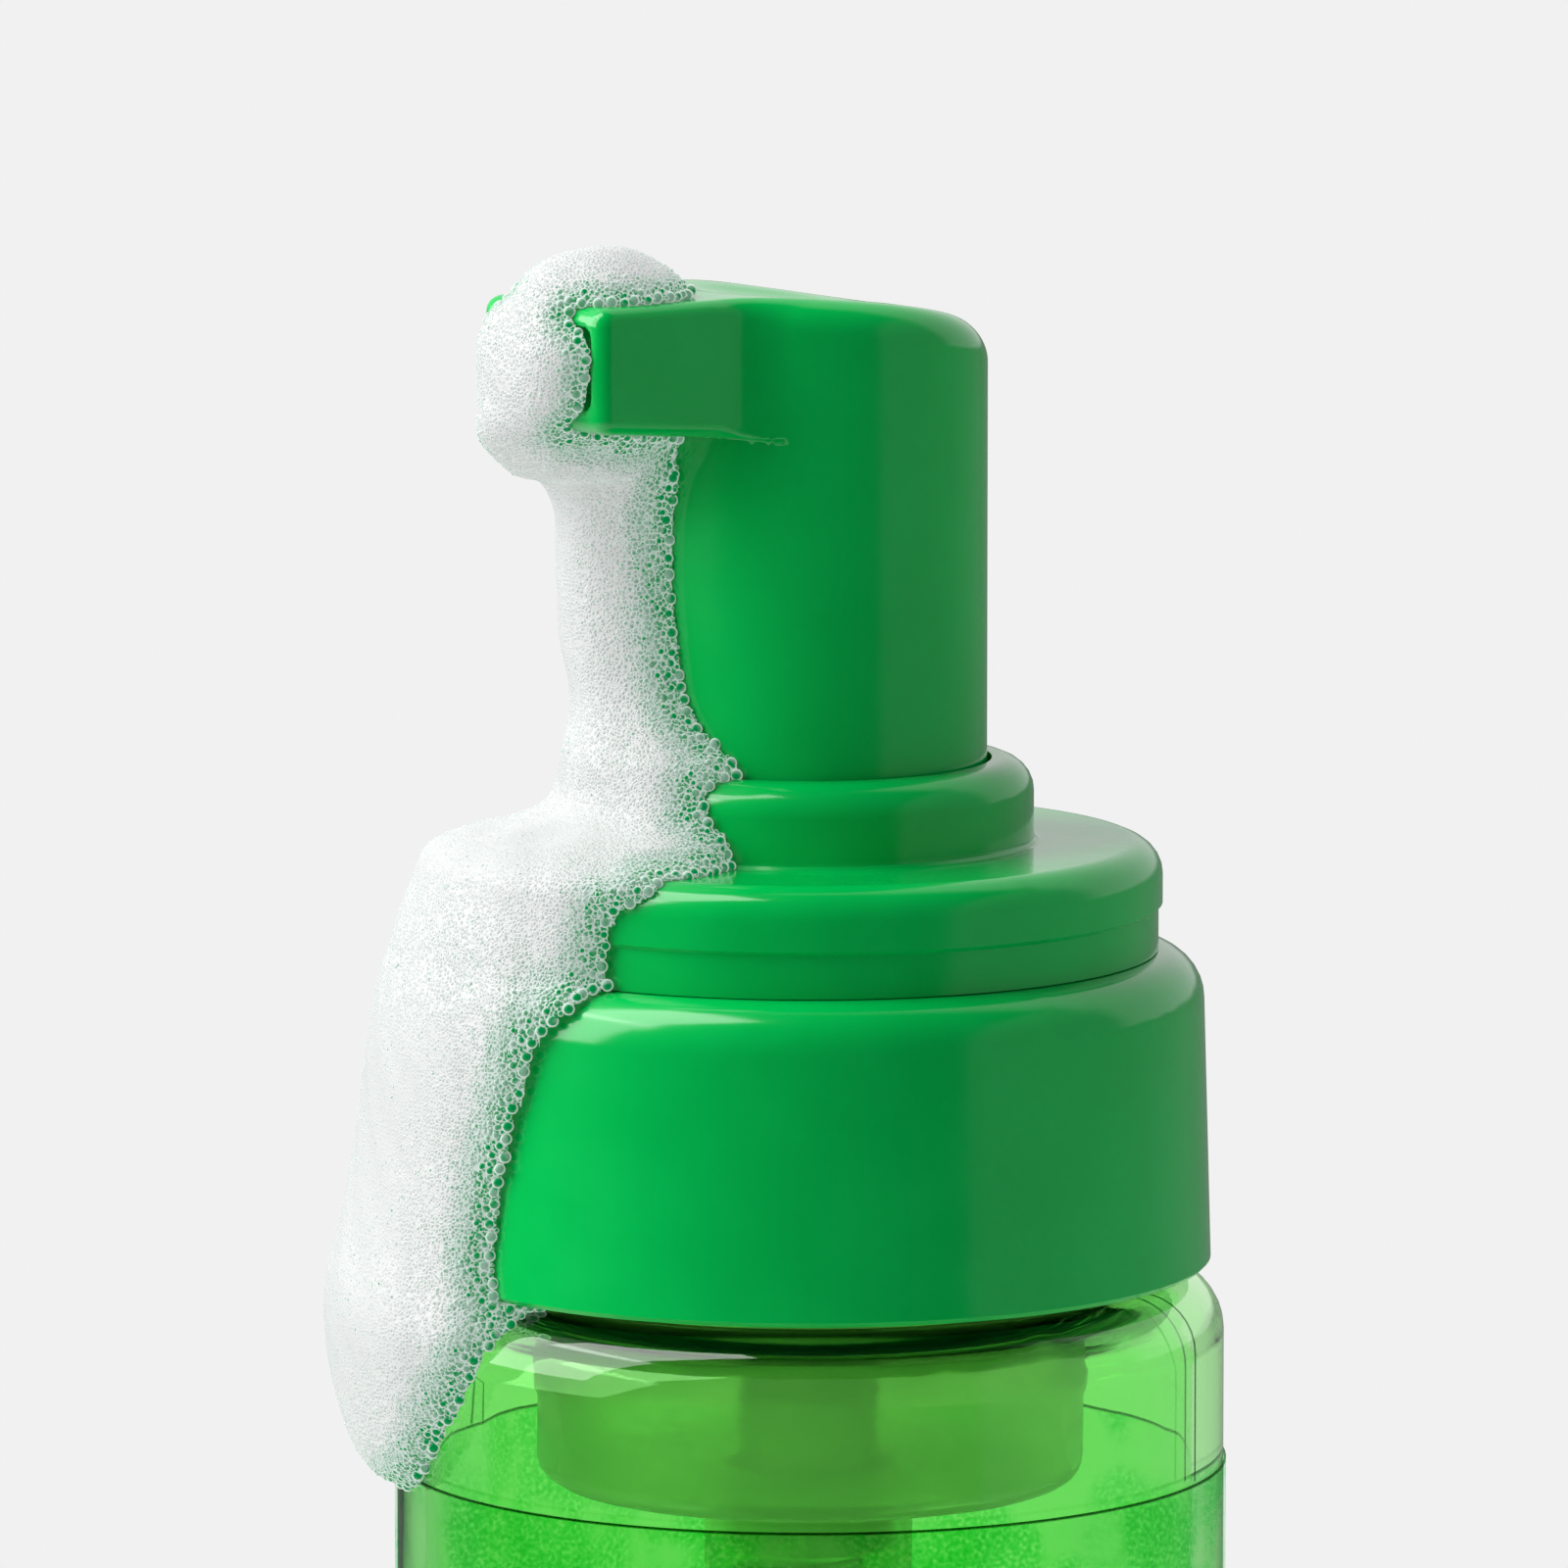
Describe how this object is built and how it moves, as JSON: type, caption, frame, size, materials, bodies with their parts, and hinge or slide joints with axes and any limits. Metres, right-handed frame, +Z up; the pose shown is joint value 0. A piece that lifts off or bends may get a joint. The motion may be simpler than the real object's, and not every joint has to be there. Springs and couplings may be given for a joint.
{
  "type": "foaming face wash bottle",
  "caption": "Round clear pump bottle that dispenses foam from a side nozzle, with screw closure, guide ring and foam running down one side.",
  "frame": {"origin": "centre of the bottle's flat standing ring", "axes": "+Z up along the bottle, nozzle towards -Y, +X to the right seen from the nozzle side"},
  "size_m": [0.051, 0.0534, 0.1739],
  "materials": {
    "clear_green_bottle": "clear green, thick walled, glossy",
    "label_film": "clear film",
    "green_plastic": "semi-gloss bright green moulding",
    "natural_plastic": "natural translucent moulding",
    "white_plastic": "plain white moulding",
    "gasket_rubber": "soft foamed seal",
    "spring_steel": "bright wire and polished balls",
    "mesh_nylon": "fine woven screen",
    "foam": "wet white foam of fine bubbles"
  },
  "bodies": {
    "bottle": {"bottle": "clear_green_bottle", "label": "label_film", "foam_shoulder": "foam"},
    "pump": {"pump_housing": "natural_plastic", "pump_cover": "green_plastic", "neck_gasket": "gasket_rubber", "dip_tube": "natural_plastic", "return_spring": "spring_steel", "foam_cover": "foam"},
    "closure": {"screw_closure": "green_plastic", "foam_collar": "foam"},
    "plunger": {"piston_stem": "white_plastic", "air_piston": "white_plastic", "air_valve": "gasket_rubber", "liquid_piston": "white_plastic", "mixing_insert": "white_plastic"},
    "head": {"actuator_head": "green_plastic", "mesh_holder": "white_plastic", "mesh_upper": "mesh_nylon", "mesh_lower": "mesh_nylon", "foam_nozzle": "foam", "foam_strand": "foam"},
    "inlet_ball": {"inlet_ball": "spring_steel"},
    "outlet_ball": {"outlet_ball": "spring_steel"}
  },
  "joints": [
    {"name": "pump_lift", "type": "slide", "parent": "bottle", "child": "pump", "axis": [0, 0, 1], "range_m": [0, 0.0064]},
    {"name": "closure_turn", "type": "hinge", "parent": "pump", "child": "closure", "pos_m": [0, 0, 0.12], "axis": [0, 0, 1], "range_deg": [0, 540]},
    {"name": "pump_stroke", "type": "slide", "parent": "pump", "child": "plunger", "axis": [0, 0, -1], "range_m": [0, 0.014], "stiffness_N_per_m": 500, "springref_m": -0.012, "deforming": ["return_spring", "foam_strand"]},
    {"name": "head_turn", "type": "hinge", "parent": "plunger", "child": "head", "pos_m": [0, 0, 0.15], "axis": [0, 0, 1], "continuous": true},
    {"name": "inlet_ball_lift", "type": "slide", "parent": "pump", "child": "inlet_ball", "axis": [0, 0, 1], "range_m": [0, 0.001]},
    {"name": "outlet_ball_lift", "type": "slide", "parent": "plunger", "child": "outlet_ball", "axis": [0, 0, 1], "range_m": [0, 0.001]}
  ],
  "couplings": [
    {"joint": "pump_lift", "follows": "closure_turn", "m_per_rad": 0.00066845}
  ]
}
